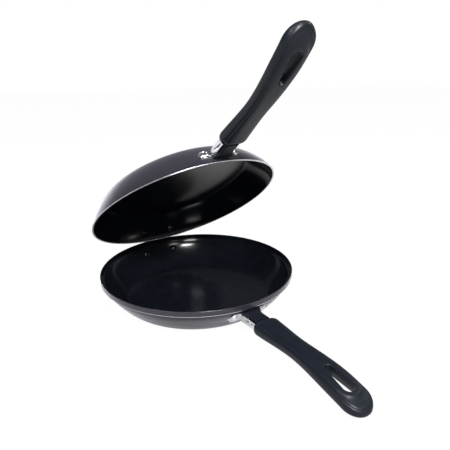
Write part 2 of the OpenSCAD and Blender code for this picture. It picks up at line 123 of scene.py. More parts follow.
class FlipPanGrip(bpy.types.PropertyGroup):
    """Sizes of the moulded grips, measured beyond the rim and below the meeting plane."""

    reach: length("Reach", "Tip of the grip beyond the rim", 163.5)
    shoulder_at: length("Shoulder place", "Start of the shoulders beyond the rim", 20)
    shoulder_len: length("Shoulder length", "Length of the rounded shoulders", 8)
    shoulder_w: length("Shoulder width", "Width at the shoulders", 30.5)
    shoulder_t: length("Shoulder thickness", "Thickness at the shoulders", 16)
    waist_at: length("Waist place", "Narrow waist beyond the rim", 74)
    waist_w: length("Waist width", "Width at the waist", 24.5)
    waist_t: length("Waist thickness", "Thickness at the waist", 13.5)
    palm_at: length("Palm place", "Widest part beyond the rim", 132)
    palm_w: length("Palm width", "Width at the widest part", 30.5)
    palm_t: length("Palm thickness", "Thickness at the widest part", 15)
    drop: length("Drop", "Centre line below the meeting plane", 12.2)
    tip_drop: length("Tip drop", "Further drop of the centre line at the tip", 13.5)
    tip_len: length("Tip length", "Length of the rounded tip", 17)
    seam_share: number("Seam place", "Share of the width inside the seam groove", 0.86)
    seam_depth: length("Seam depth", "Depth of the groove round the inner face", 1.2)
    seam_w: length("Seam width", "Width of the groove round the inner face", 0.9)
    seam_border: length("Seam border", "From the groove to the tip", 2.6)
    dish_r: length("Dish edge radius", "Round edge of the thumb dish about the slot end", 10.5)
    dish_depth: length("Dish depth", "Depth of the thumb dish", 1.6)
    dish_fall: length("Dish fall", "Length over which the dish falls to its depth", 2.2)
    slot_from: length("Slot start", "Middle of the narrow end of the slot", 116)
    slot_to: length("Slot end", "Middle of the wide end of the slot", 139.5)
    slot_r_from: length("Slot narrow radius", "Radius of the narrow end", 3.6)
    slot_r_to: length("Slot wide radius", "Radius of the wide end", 6.3)
    slot_round: length("Slot rounding", "Rounding of the edges of the slot", 0.9)
    slot_land: length("Slot land", "Thickness of the grip around the slot", 6.5)
    slot_recess: length("Slot recess", "Width of the recess round the slot outside", 2.6)
    neck_w: length("Neck width", "Width of the neck between the bracket arms", 15.6)
    neck_top: length("Neck top", "Inner face of the neck below the meeting plane", 5)
    neck_bottom: length("Neck bottom", "Outer face of the neck below the meeting plane", 14.7)
    foot_w: length("Foot width", "Width of the foot against the pan", 24)
    foot_bottom: length("Foot bottom", "Outer face of the foot below the meeting plane", 8.1)
    foot_from: length("Foot start", "Start of the foot beyond the rim", -2.9)
    foot_reach: length("Foot reach", "Reach of the foot beyond the rim", 7.5)
    screw_at: length("Screw place", "Place of the handle screw beyond the rim", 36)
    screw_r: length("Screw pocket radius", "Radius of the pocket for the screw head", 3.95)
    screw_seat: length("Screw seat", "Floor of that pocket below the meeting plane", 17.5)


class FlipPanBracket(bpy.types.PropertyGroup):
    """Sizes of the plated handle brackets."""

    edge: length("Edge rounding", "Rounding of the edges of the plated sheet", 0.3)
    ear_x: length("Ear place", "Middle of a riveted ear from the middle of the pan", 17)
    ear_drop: length("Ear drop", "Middle of a riveted ear below the meeting plane", 12.5)
    plate_face: length("Plate face", "Outer face of the plate above the wall of the pan", 1.6)
    bead_r: length("Bead radius", "Radius of the bead round a rivet", 5.7)
    bead_w: length("Bead half width", "Half the width of that bead", 0.75)
    bead_h: length("Bead height", "Height of that bead", 0.7)
    arm_x: length("Arm face", "Outer face of an arm from the middle of the channel", 10.2)
    rib_from: length("Rib start", "Start of the rib in an arm beyond the rim", 1.5)
    rib_to: length("Rib end", "End of the rib in an arm beyond the rim", 19.5)
    rib_depth: length("Rib depth", "Middle of the rib below the meeting plane", 12.6)
    rib_w: length("Rib half width", "Half the width of the rib", 2.2)
    rib_h: length("Rib height", "Height of the rib", 0.9)


class FlipPanFinish(bpy.types.PropertyGroup):
    """Colours of the finishes."""

    coating: colour("Coating", "Non-stick coating inside the pans", (0.0045, 0.0058, 0.0088))
    shell: colour("Shell", "Satin grey outside of the pans", (0.021, 0.020, 0.028))
    shell_edge_on: colour("Shell edge on", "Pale sheen of the shell seen edge on", (0.86, 0.84, 1.0))
    bare_edge: colour("Bare edge", "Bare metal of the turned rims", (0.66, 0.65, 0.71))
    base: colour("Base", "Turned metal of the bases", (0.62, 0.62, 0.64))
    chrome: colour("Chrome", "Plated brackets", (0.80, 0.81, 0.84))
    steel: colour("Steel", "Screws, nuts, rivets and the hinge pin", (0.70, 0.71, 0.73))
    grip: colour("Grip", "Moulded grips", (0.0064, 0.0088, 0.0145))
    floor: colour("Floor", "Studio floor", (0.32, 0.32, 0.33))


class FlipPanStudio(bpy.types.PropertyGroup):
    """Camera and surroundings of the studio, at the photographed viewing angle."""

    azimuth: angle("Azimuth", "Turn of the camera round the pan", -32.02)
    elevation: angle("Elevation", "Height of the camera above the horizon", 21.97)
    roll: angle("Roll", "Roll of the camera", -0.96)
    distance: length("Distance", "Camera to the point that it turns round", 629.8)
    focal: number("Focal length", "Focal length in mm", 37.18)
    target_x: length("Target X", "Point that the camera turns round", 50.7)
    target_y: length("Target Y", "Point that the camera turns round", 17.6)
    shift_x: number("Shift X", "Share of the picture width", 0.0041)
    shift_y: number("Shift Y", "Share of the picture width", 0.0623)
    ambient: number("Ambient", "Soft light from all round", 0.35)
    white_below: angle("White below", "Surroundings that metal mirrors are white up to this height", 0)
    dim_above: angle("Dim above", "Surroundings that metal mirrors are dim above this height", 13)
    dim_level: number("Dim level", "Strength of that dim part", 0.12)


# ---- Placing ----


def lower_place():
    shape = bpy.context.scene.flip_pan_shape
    return Matrix.Translation((0, 0, shape.pan_h))


def upper_place():
    """Closed position first, then turned open about the pin."""
    shape = bpy.context.scene.flip_pan_shape
    closed = Matrix.Translation((0, -PIN.y, shape.seat_gap - shape.band_h))
    flip = Matrix.Diagonal((1, 1, -1, 1))
    turn = Matrix.Rotation(math.radians(-OPEN_DEG), 4, "X")
    return Matrix.Translation(PIN) @ turn @ closed @ flip


PANS = {"lower": lower_place, "upper": upper_place}
SHARP_ANGLE = math.radians(32)
IN_PLACE = Matrix.Identity(4)


def finish_piece(name, bm, place, materials, body, nodes):
    """Places a bmesh, turns its faces outwards and makes it a piece of the object."""
    bmesh.ops.transform(bm, matrix=place, verts=bm.verts)
    bmesh.ops.recalc_face_normals(bm, faces=bm.faces)
    for edge in bm.edges:
        edge.smooth = edge.calc_face_angle(math.pi) < SHARP_ANGLE
    for face in bm.faces:
        face.smooth = True
    mesh = bpy.data.meshes.new(name)
    bm.to_mesh(mesh)
    bm.free()
    piece = bpy.data.objects.new(name, mesh)
    bpy.context.scene.collection.objects.link(piece)
    for material in materials:
        mesh.materials.append(material)
    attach(piece, body)
    if nodes:
        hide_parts(*nodes)


# ---- Materials ----

RING_PITCH = 0.70 * MM


class ShaderNodes:
    """Short calls for the nodes of a material or a world."""

    def __init__(self, owner):
        owner.use_nodes = True
        self.tree = owner.node_tree

    def node(self, kind, **values):
        made = self.tree.nodes.new(kind)
        for key, value in values.items():
            setattr(made, key, value)
        return made

    def link(self, out, into):
        self.tree.links.new(out, into)

    def ranged(self, value, start, end, low, high, interpolation="LINEAR"):
        """A value spread from one range to another."""
        made = self.node("ShaderNodeMapRange", interpolation_type=interpolation)
        made.inputs["From Min"].default_value = start
        made.inputs["From Max"].default_value = end
        made.inputs["To Min"].default_value = low
        made.inputs["To Max"].default_value = high
        self.link(value, made.inputs["Value"])
        return made.outputs["Result"]

    def larger(self, first, second):
        """The larger of two values."""
        made = self.node("ShaderNodeMath", operation="MAXIMUM")
        self.link(first, made.inputs[0])
        self.link(second, made.inputs[1])
        return made.outputs[0]

    def mixed(self, share, low, high):
        """A value between low, a number, and high, a socket."""
        made = self.node("ShaderNodeMix")
        made.inputs["A"].default_value = low
        self.link(share, made.inputs["Factor"])
        self.link(high, made.inputs["B"])
        return made.outputs["Result"]


class Recipe(ShaderNodes):
    """A material with its shader, and short calls for what feeds it."""

    NOISE_LOW = 0.3
    NOISE_HIGH = 0.7

    def __init__(self, name, base, **sockets):
        self.material = bpy.data.materials.new(name)
        super().__init__(self.material)
        self.shader = self.tree.nodes["Principled BSDF"]
        self.shader.inputs["Base Color"].default_value = (*base, 1.0)
        for socket, value in sockets.items():
            label = socket.replace("_", " ").title().replace("Ior", "IOR")
            self.shader.inputs[label].default_value = value
        self.where = self.node("ShaderNodeTexCoord").outputs["Object"]

    def placed(self, matrix):
        """Object coordinates in the frame of a pan, for patterns that go round its axis."""
        mapping = self.node("ShaderNodeMapping")
        location, rotation, scale = matrix.inverted().decompose()
        mapping.inputs["Location"].default_value = location
        mapping.inputs["Rotation"].default_value = rotation.to_euler()
        mapping.inputs["Scale"].default_value = scale
        self.link(self.where, mapping.inputs["Vector"])
        return mapping.outputs["Vector"]

    def noise(self, size, detail=2.0):
        """Noise whose cells are about size across."""
        made = self.node("ShaderNodeTexNoise")
        made.inputs["Scale"].default_value = 1.0 / size
        made.inputs["Detail"].default_value = detail
        self.link(self.where, made.inputs["Vector"])
        return made.outputs["Fac"]

    def spread(self, value, low, high):
        """A noise spread between two values."""
        return self.ranged(value, self.NOISE_LOW, self.NOISE_HIGH, low, high)

    def vary_roughness(self, value, low, high):
        self.link(self.spread(value, low, high), self.shader.inputs["Roughness"])

    def vary_colour(self, value, base, dark, light):
        """Varies a colour between two shares of its brightness."""
        ramp = self.node("ShaderNodeMix", data_type="RGBA")
        ramp.inputs["A"].default_value = (*tint(base, dark), 1.0)
        ramp.inputs["B"].default_value = (*tint(base, light), 1.0)
        self.link(self.spread(value, 0.0, 1.0), ramp.inputs["Factor"])
        self.link(ramp.outputs["Result"], self.shader.inputs["Base Color"])

    def bump(self, value, height, strength):
        """A relief of a real height in metres."""
        made = self.node("ShaderNodeBump")
        made.inputs["Distance"].default_value = height
        made.inputs["Strength"].default_value = strength
        self.link(value, made.inputs["Height"])
        self.link(made.outputs["Normal"], self.shader.inputs["Normal"])


def tint(base, gain):
    return tuple(min(1.0, channel * gain) for channel in base)


def coating_material(finish):
    recipe = Recipe("nonstick_coating", finish.coating, roughness=0.13, specular_ior_level=0.16)
    mottle = recipe.noise(0.9 * MM, detail=3.0)
    recipe.vary_roughness(mottle, low=0.11, high=0.16)
    recipe.vary_colour(recipe.noise(14 * MM), finish.coating, dark=0.85, light=1.2)
    recipe.bump(mottle, height=0.006 * MM, strength=0.5)
    return recipe.material


def shell_material(finish):
    """Dark satin paint with fine flakes, which turns pale where it is seen edge on."""
    recipe = Recipe(
        "satin_grey_shell", finish.shell, roughness=0.34, specular_ior_level=0.1,
        coat_weight=0.7, coat_roughness=0.18, coat_ior=1.5,
        sheen_weight=1.0, sheen_roughness=0.30, sheen_tint=(*finish.shell_edge_on, 1.0),
    )
    flake = recipe.noise(0.55 * MM, detail=1.0)
    recipe.vary_colour(flake, finish.shell, dark=0.5, light=1.7)
    recipe.vary_roughness(recipe.noise(1.6 * MM), low=0.30, high=0.38)
    recipe.bump(flake, height=0.004 * MM, strength=0.4)
    return recipe.material


def base_material(name, finish, place):
    """Bare metal with fine rings turned round the axis of its pan."""
    recipe = Recipe(name, finish.base, roughness=0.30, metallic=1.0)
    flat = recipe.node("ShaderNodeVectorMath", operation="MULTIPLY")
    flat.inputs[1].default_value = (1, 1, 0)
    recipe.link(recipe.placed(place), flat.inputs[0])
    radius = recipe.node("ShaderNodeVectorMath", operation="LENGTH")
    recipe.link(flat.outputs["Vector"], radius.inputs[0])
    rings = recipe.node("ShaderNodeTexNoise", noise_dimensions="1D")
    rings.inputs["Scale"].default_value = 1.0 / RING_PITCH
    recipe.link(radius.outputs["Value"], rings.inputs["W"])
    recipe.vary_colour(rings.outputs["Fac"], finish.base, dark=0.74, light=1.10)
    recipe.vary_roughness(recipe.noise(9 * MM), low=0.29, high=0.33)
    recipe.bump(rings.outputs["Fac"], height=0.02 * MM, strength=0.6)
    return recipe.material


def bare_edge_material(finish):
    """Bright metal of a rim, turned after the pan was painted and coated."""
    recipe = Recipe("bare_turned_edge", finish.bare_edge, roughness=0.24, metallic=1.0)
    streaks = recipe.noise(1.2 * MM, detail=3.0)
    recipe.vary_colour(streaks, finish.bare_edge, dark=0.8, light=1.08)
    recipe.vary_roughness(streaks, low=0.20, high=0.32)
    recipe.bump(recipe.noise(0.3 * MM), height=0.004 * MM, strength=0.4)
    return recipe.material


def chrome_material(finish):
    recipe = Recipe("bracket_chrome", finish.chrome, roughness=0.10, metallic=1.0)
    recipe.vary_roughness(recipe.noise(3.0 * MM, detail=3.0), low=0.06, high=0.15)
    recipe.bump(recipe.noise(5.0 * MM), height=0.03 * MM, strength=0.25)
    return recipe.material


def steel_material(finish):
    recipe = Recipe("fastener_steel", finish.steel, roughness=0.22, metallic=1.0)
    recipe.vary_roughness(recipe.noise(0.8 * MM, detail=3.0), low=0.16, high=0.30)
    recipe.bump(recipe.noise(0.4 * MM), height=0.006 * MM, strength=0.5)
    return recipe.material


def grip_material(finish):
    recipe = Recipe("grip_moulding", finish.grip, roughness=0.5, specular_ior_level=0.2)
    grain = recipe.noise(0.45 * MM)
    recipe.vary_roughness(grain, low=0.34, high=0.48)
    recipe.vary_colour(recipe.noise(11 * MM), finish.grip, dark=0.85, light=1.15)
    recipe.bump(grain, height=0.030 * MM, strength=0.6)
    return recipe.material


# ---- Pans ----

WALL_STEPS = 30
SPIN_STEPS = 160
ARC_STEPS = 4
COATING, SHELL, BASE, BARE = range(4)
FACING = 0.5


def wall_top(side, shape):
    """Radius and depth of the outside of a side wall at its top."""
    if side == "lower":
        return shape.rim_d / 2 - shape.band_step, shape.band_drop
    return shape.rim_d / 2 - shape.band_t - shape.rim_gap, 0.0


def arc(centre, radius, start_deg, end_deg):
    """Points on a round edge, as radius and height."""
    for step in range(ARC_STEPS + 1):
        turn = math.radians(start_deg + (end_deg - start_deg) * step / ARC_STEPS)
        yield (centre[0] + radius * math.cos(turn), centre[1] + radius * math.sin(turn))


def wall_curve(shape, top, bottom):
    """Points up a side wall, from the depth of its bottom to the radius and depth of its top."""
    for step in range(WALL_STEPS + 1):
        turn = math.radians(90.0 * (1 - step / WALL_STEPS))
        radius = shape.base_r + (top[0] - shape.base_r) * math.cos(turn) ** shape.wall_shape
        depth = top[1] + (bottom - top[1]) * math.sin(turn) ** shape.wall_shape
        yield (radius, -depth)


def base_profile(shape):
    """The underside from the middle outwards, with its turned grooves."""
    pitch = shape.base_r / (shape.groove_n + 1)
    slope = shape.groove_depth / 2
    yield (0.0, -shape.pan_h)
    for groove in range(1, shape.groove_n + 1):
        inner = groove * pitch - shape.groove_w / 2
        outer = groove * pitch + shape.groove_w / 2
        yield (inner, -shape.pan_h)
        yield (inner + slope, -shape.pan_h + shape.groove_depth)
        yield (outer - slope, -shape.pan_h + shape.groove_depth)
        yield (outer, -shape.pan_h)


def lower_profile(shape):
    """The base, the wall, the bead and band above it, the ledge and the inside."""
    rim_r = shape.rim_d / 2
    inside_r = rim_r - shape.band_t
    outer_top = wall_top("lower", shape)
    inner_top = (outer_top[0] - shape.wall_t, 0.0)
    edge = shape.edge
    yield from base_profile(shape)
    yield from wall_curve(shape, outer_top, shape.pan_h)
    yield from arc((rim_r - shape.bead, -shape.band_drop + shape.bead), shape.bead, -90, 0)
    yield from arc((rim_r - edge, shape.band_h - edge), edge, 0, 90)
    yield from arc((inside_r + edge, shape.band_h - edge), edge, 90, 180)
    yield (inside_r, edge / 2)
    yield (inside_r - edge / 2, 0.0)
    yield from arc((inner_top[0] + edge, -edge), edge, 90, 180)
    yield from inside_profile(shape, inner_top, edge)


def upper_profile(shape):
    """The base, the wall with its plain rounded rim, and the inside."""
    outer_top = wall_top("upper", shape)
    inner_top = (outer_top[0] - shape.wall_t, 0.0)
    edge = shape.edge
    yield from base_profile(shape)
    yield from (point for point in wall_curve(shape, outer_top, shape.pan_h) if point[1] < -edge)
    yield from arc((outer_top[0] - edge, -edge), edge, 0, 90)
    yield from arc((inner_top[0] + edge, -edge), edge, 90, 180)
    yield from inside_profile(shape, inner_top, edge)


def inside_profile(shape, inner_top, edge):
    """The inside wall below its rounded top edge, and the floor."""
    curve = list(wall_curve(shape, inner_top, shape.pan_h - shape.base_t))
    yield from (point for point in reversed(curve) if point[1] < -edge)
    yield (0.0, -shape.pan_h + shape.base_t)


def spun(profile):
    """A closed shell from a profile of radius and height."""
    bm = bmesh.new()
    verts = [bm.verts.new((radius, 0.0, height)) for radius, height in profile]
    edges = [bm.edges.new(pair) for pair in zip(verts, verts[1:])]
    bmesh.ops.spin(
        bm, geom=verts + edges, cent=(0, 0, 0), axis=(0, 0, 1),
        angle=math.tau, steps=SPIN_STEPS, use_merge=True,
    )
    bmesh.ops.remove_doubles(bm, verts=bm.verts, dist=JOIN_DIST)
    return bm


def is_bare(side, shape, radius, height):
    """True on the turned rim of the upper pan and on the bead under the band of the lower one."""
    if side == "lower":
        return radius > shape.rim_d / 2 - shape.bead and height < shape.bead - shape.band_drop
    if height > -shape.edge:
        return True
    return height > -shape.bare_w and radius > wall_top(side, shape)[0] - shape.edge


def finish_faces(bm, side, shape):
    """Gives each face of a spun pan its finish, by its place and the way it faces."""
    bmesh.ops.recalc_face_normals(bm, faces=bm.faces)
    coated_r = shape.rim_d / 2 - shape.band_t / 2
    if side == "upper":
        coated_r -= shape.band_t
    for face in bm.faces:
        middle = face.calc_center_median()
        radius = math.hypot(middle.x, middle.y)
        inwards = face.normal.x * middle.x + face.normal.y * middle.y < 0
        underside = face.normal.z < -FACING and middle.z < -shape.pan_h + shape.base_t / 2
        if underside and radius < shape.base_r:
            face.material_index = BASE
        elif is_bare(side, shape, radius, middle.z):
            face.material_index = BARE
        elif radius < coated_r and (inwards or face.normal.z > FACING):
            face.material_index = COATING
        else:
            face.material_index = SHELL


class FLIPPAN_OT_pans(bpy.types.Operator):
    """Spin both pans, with their coated inside, satin outside and turned base"""

    bl_idname = "flippan.pans"
    bl_label = "Pans"

    def execute(self, context):
        shape = context.scene.flip_pan_shape
        finish = context.scene.flip_pan_finish
        coating = coating_material(finish)
        shell = shell_material(finish)
        bare = bare_edge_material(finish)
        profiles = {"lower": lower_profile, "upper": upper_profile}
        for side, place in PANS.items():
            bm = spun(profiles[side](shape))
            finish_faces(bm, side, shape)
            base = base_material(side + "_turned_base", finish, place())
            finish_piece(
                side + "_pan_shell", bm, place(), (coating, shell, base, bare),
                side, [side + "_pan"],
            )
        return {"FINISHED"}


# ---- Grips ----


def ease(share):
    """A share from 0 to 1 that starts and ends softly."""
    share = min(1.0, max(0.0, share))
    return share * share * (3 - 2 * share)


def blend(low, high, share):
    return low + (high - low) * share


def span(value, start, end):
    """How far a value lies from start to end, as a share."""
    return min(1.0, max(0.0, (value - start) / (end - start)))


def powered(value, power):
    """A sine or cosine of the angle round a rounded box of this power."""
    return math.copysign(abs(value) ** (2 / power), value)


def mapped_grid(columns, rows, place):
    """A closed skin: a grid whose columns go round it, placed by a function of column and row."""
    bm = bmesh.new()
    bmesh.ops.create_grid(bm, x_segments=columns, y_segments=rows, size=0.5)
    for vert in bm.verts:
        column = round((vert.co.x + 0.5) * columns) % columns
        row = round((vert.co.y + 0.5) * rows)
        vert.co = place(column, row)
    bmesh.ops.remove_doubles(bm, verts=bm.verts, dist=FINE_JOIN_DIST)
    bmesh.ops.recalc_face_normals(bm, faces=bm.faces)
    return bm


def carved(bm, cutter):
    """A closed bmesh with the space of another one taken out of it."""
    made = []
    for form in (bm, cutter):
        mesh = bpy.data.meshes.new("carving")
        form.to_mesh(mesh)
        form.free()
        made.append(bpy.data.objects.new("carving", mesh))
        bpy.context.scene.collection.objects.link(made[-1])
    cut = made[0].modifiers.new("cut", "BOOLEAN")
    cut.operation = "DIFFERENCE"
    cut.solver = "EXACT"
    cut.object = made[1]
    result = bmesh.new()
    result.from_object(made[0], bpy.context.evaluated_depsgraph_get())
    for item in made:
        bpy.data.meshes.remove(item.data)
    return result


class GripForm:
    """Skin of a grip. A place along it is s, beyond the rim, and depths go below the meeting plane."""

    COLUMNS = 120
    INNER_POWER = 3.4
    OUTER_POWER = 2.4
    BLOCK_POWER = 9.0
    SHOULDER_FACE = 0.66
    ROW_STEP = 1.3 * MM
    FINE_STEP = 0.5 * MM
    FINE_POWER = 1.5
    TIP_ROWS = 48
    FOOT_ROWS = 8
    SLOT_ARC_ROWS = 5
    SCREW_COLUMNS = 48
    EDGE = 0.6 * MM
    TURN_STEPS = 2880
    SEAM_CLOSER = 3

    def __init__(self, grip, rim_r):
        self.g = grip
        self.rim_r = rim_r
        self.turns = self.spaced_turns()
        self.rows = self.all_rows()

    # -- the main form

    def size(self, s, shoulder, waist, palm):
        """A width or thickness that changes softly from the shoulders to the waist and the palm."""
        g = self.g
        if s < g.waist_at:
            return blend(shoulder, waist, ease(span(s, g.shoulder_at, g.waist_at)))
        return blend(waist, palm, ease(span(s, g.waist_at, g.palm_at)))

    def width(self, s):
        return self.size(s, self.g.shoulder_w, self.g.waist_w, self.g.palm_w)

    def thick(self, s):
        return self.size(s, self.g.shoulder_t, self.g.waist_t, self.g.palm_t)

    def middle(self, s):
        g = self.g
        return g.drop + g.tip_drop * span(s, g.waist_at, g.reach) ** 2

    def inner(self, s):
        """Depth of the inner face."""
        return self.middle(s) - self.thick(s) / 2

    def end(self, s):
        """Share of the section that is left at the round shoulders and the tip."""
        g = self.g
        if s < g.shoulder_at + g.shoulder_len:
            back = 1 - span(s, g.shoulder_at, g.shoulder_at + g.shoulder_len)
            return blend(self.SHOULDER_FACE, 1, math.sqrt(1 - back * back))
        gone = span(s, g.reach - g.tip_len, g.reach)
        return math.sqrt(max(0.0, 1 - gone * gone))

    # -- details of the inner face

    def outside_seam(self, s, x):
        """How far a point lies outside the seam line, which has a round end at each end."""
        g = self.g
        half = self.width(s) / 2 * g.seam_share
        start = g.shoulder_at + g.shoulder_len + g.seam_border
        tip = g.reach - g.tip_len
        if s > tip:
            along, over = s - tip, g.tip_len - g.seam_border
        else:
            along, over = max(0.0, start - s), g.shoulder_len
        ratio = math.hypot(x / half, along / over)
        slope = math.hypot(x / half**2, along / over**2) / max(ratio, TINY)
        return (ratio - 1) / max(slope, TINY)

    def sunk(self, s, x):
        """Depth of the seam groove and the thumb dish at a point of the inner face."""
        g = self.g
        out = self.outside_seam(s, x)
        groove = g.seam_depth * math.exp(-((out / g.seam_w) ** 2))
        past = math.hypot(x, max(0.0, s - g.slot_to)) - g.dish_r
        if past < 0 or s < g.slot_to or out > 0:
            return groove
        dish = g.dish_depth * (1 - math.exp(-past / g.dish_fall))
        return groove + dish * ease(-out / g.seam_border)

    # -- columns and rows of the skin

    def spaced_turns(self):
        """Angles of the columns round a section, evenly spaced and closer at the seam."""
        steps = self.TURN_STEPS
        reach = self.g.palm_w / 2
        height = self.g.palm_t / 2
        sums = [0.0]
        last = None
        for step in range(steps + 1):
            x, z = self.section(math.tau * step / steps, reach, height)
            if last:
                away = (abs(x) - reach * self.g.seam_share) / (2 * self.g.seam_w)
                weight = 1 + (self.SEAM_CLOSER * math.exp(-away * away) if z > 0 else 0)
                sums.append(sums[-1] + weight * math.hypot(x - last[0], z - last[1]))
            last = (x, z)
        turns = []
        step = 0
        for column in range(self.COLUMNS):
            while sums[step] < sums[-1] * column / self.COLUMNS:
                step += 1
            turns.append(math.tau * step / steps)
        return turns

    def section(self, turn, half_w, half_t):
        power = self.INNER_POWER if math.sin(turn) >= 0 else self.OUTER_POWER
        return half_w * powered(math.cos(turn), power), half_t * powered(math.sin(turn), power)

    def block(self, turn, s, half_w, top, bottom, shrink):
        """Point of the foot or the neck, which are blocks with rounded edges."""
        x = (half_w - shrink) * powered(math.cos(turn), self.BLOCK_POWER)
        z = ((bottom - top) / 2 - shrink) * powered(math.sin(turn), self.BLOCK_POWER)
        return x, s, (top + bottom) / 2 - z

    def all_rows(self):
        """Rows of the skin from the pan to the tip, each a function of the angle."""
        g = self.g

        def foot(s, shrink):
            """Widest against the pan, and narrowed to the neck where it ends."""
            half_w = blend(g.neck_w, g.foot_w, (1 - span(s, 0, g.foot_reach)) ** 2) / 2

            def point(turn):
                x, _, depth = self.block(turn, s, half_w, g.neck_top, g.foot_bottom, shrink)
                bend = x * x / (2 * self.rim_r) if s < 0 else 0.0
                return x, s - bend, depth
            return point

        def neck(s):
            return lambda turn: self.block(turn, s, g.neck_w / 2, g.neck_top, g.neck_bottom, 0)

        def body(s):
            return lambda turn: self.body_point(turn, s)

        rows = [lambda turn: (0.0, g.foot_from, (g.neck_top + g.foot_bottom) / 2)]
        rows += [foot(g.foot_from, self.EDGE), foot(g.foot_from + self.EDGE, 0)]
        rows += [foot(g.foot_reach * i / self.FOOT_ROWS, 0) for i in range(self.FOOT_ROWS + 1)]
        rows += [neck(g.foot_reach), neck(g.shoulder_at)]
        round_end = g.shoulder_at + 2 * g.shoulder_len
        tip = g.reach - g.tip_len
        fine = round((round_end - g.shoulder_at) / self.FINE_STEP)
        for i in range(fine):
            rows.append(body(blend(g.shoulder_at, round_end, (i / fine) ** self.FINE_POWER)))
        plain = round((tip - round_end) / self.ROW_STEP)
        rows += [body(blend(round_end, tip, i / plain)) for i in range(plain)]
        for i in range(self.TIP_ROWS + 1):
            rows.append(body(tip + g.tip_len * math.sin(math.pi / 2 * i / self.TIP_ROWS)))
        return rows

    def body_point(self, turn, s):
        end = self.end(s)
        half_w = self.width(s) / 2
        half_t = self.thick(s) / 2
        x, z = self.section(turn, end * half_w, end * half_t)
        if math.sin(turn) > 0 and end > 0:
            lean = (abs(x) / (end * half_w)) ** (self.INNER_POWER - 1) / half_w
            rise = (z / (end * half_t)) ** (self.INNER_POWER - 1) / half_t
            sink = self.sunk(s, x) / math.hypot(lean, rise)
            x -= math.copysign(sink * lean, x)
            z -= sink * rise
        return x, s, self.middle(s) - z

    def at(self, x, s, depth):
        return Vector((x, -(self.rim_r + s), -depth))

    def skin(self):
        return mapped_grid(
            self.COLUMNS, len(self.rows) - 1,
            lambda column, row: self.at(*self.rows[row](self.turns[column])),
        )

    # -- what is cut out of it

    def slot_ring(self, wider):
        """Outline of the slot, widened all round, as a function of the angle."""
        g = self.g

        def point(turn):
            wide = math.sin(turn) > (g.slot_r_to - g.slot_r_from) / (g.slot_to - g.slot_from)
            radius = (g.slot_r_to if wide else g.slot_r_from) + wider
            centre = g.slot_to if wide else g.slot_from
            return radius * math.cos(turn), centre + radius * math.sin(turn)
        return point

    def slot_cutter(self):
        """The slot with rounded edges, and its wider recess on the outer side."""
        g = self.g
        lip, land, recess = g.slot_round, g.slot_land, g.slot_recess
        past = 3 * lip
        layers = [(lip, -past)]
        for i in range(self.SLOT_ARC_ROWS + 1):
            turn = math.pi / 2 * i / self.SLOT_ARC_ROWS
            layers.append((lip * (1 - math.sin(turn)), lip * (1 - math.cos(turn))))
        layers += [(0.0, land - lip / 2), (lip / 2, land), (recess - lip, land), (recess, land + lip)]
        layers += [(recess + lip, 2 * land), (recess + 2 * lip, 2 * land + past)]
        middle = (g.slot_from + g.slot_to) / 2

        def place(column, row):
            if row in (0, len(layers) + 1):
                depth = layers[0 if row == 0 else -1][1]
                return self.at(0, middle, self.inner(middle) + depth)
            wider, depth = layers[row - 1]
            x, s = self.slot_ring(wider)(math.tau * column / self.COLUMNS)
            return self.at(x, s, self.inner(s) + depth)

        return mapped_grid(self.COLUMNS, len(layers) + 1, place)

    def screw_cutter(self):
        """The pocket for the screw head, with an eased edge."""
        g = self.g
        face = self.middle(g.screw_at) + self.thick(g.screw_at) / 2
        lip = self.EDGE
        layers = [(g.screw_r, g.screw_seat), (g.screw_r, face - lip), (g.screw_r + 2 * lip, face + lip)]

        def place(column, row):
            radius, depth = layers[min(max(row - 1, 0), len(layers) - 1)]
            if row in (0, len(layers) + 1):
                radius = 0.0
            turn = math.tau * column / self.SCREW_COLUMNS
            return self.at(radius * math.cos(turn), g.screw_at + radius * math.sin(turn), depth)

        return mapped_grid(self.SCREW_COLUMNS, len(layers) + 1, place)


class FLIPPAN_OT_grips(bpy.types.Operator):
    """Model both moulded grips with their seam, thumb dish and hanging slot"""

    bl_idname = "flippan.grips"
    bl_label = "Grips"

    def execute(self, context):
        scene = context.scene
        material = grip_material(scene.flip_pan_finish)
        form = GripForm(scene.flip_pan_grip, scene.flip_pan_shape.rim_d / 2)
        for side, place in PANS.items():
            bm = carved(form.skin(), form.slot_cutter())
            bm = carved(bm, form.screw_cutter())
            finish_piece(
                side + "_moulded_grip", bm, place(), (material,),
                side, [side + "_grip"],
            )
        return {"FINISHED"}


# ---- Steel pieces ----

FLAT_ANGLE = math.radians(1)
TIGHT_EDGE = 0.4 * MM
TIGHT_CORNER = math.radians(45)
SQUARE_FROM = math.radians(60)
SQUARE_TO = math.radians(120)
EASE_SEGMENTS = 3
BEAD_STEPS = 10
BEAD_SPIN_STEPS = 40
RIB_COLUMNS = 32
RIB_ROWS = 16
PLAIN, COATED = range(2)


def merged_copy(node):
    """A CAD node's mesh with its triangles joined, as a bmesh."""
    bm = bmesh.new()
    bm.from_mesh(frame["nodes"][node].data)
    bmesh.ops.remove_doubles(bm, verts=bm.verts, dist=JOIN_DIST)
    bmesh.ops.dissolve_limit(
        bm, angle_limit=FLAT_ANGLE, verts=bm.verts, edges=bm.edges, delimit={"NORMAL"}
    )
    return bm


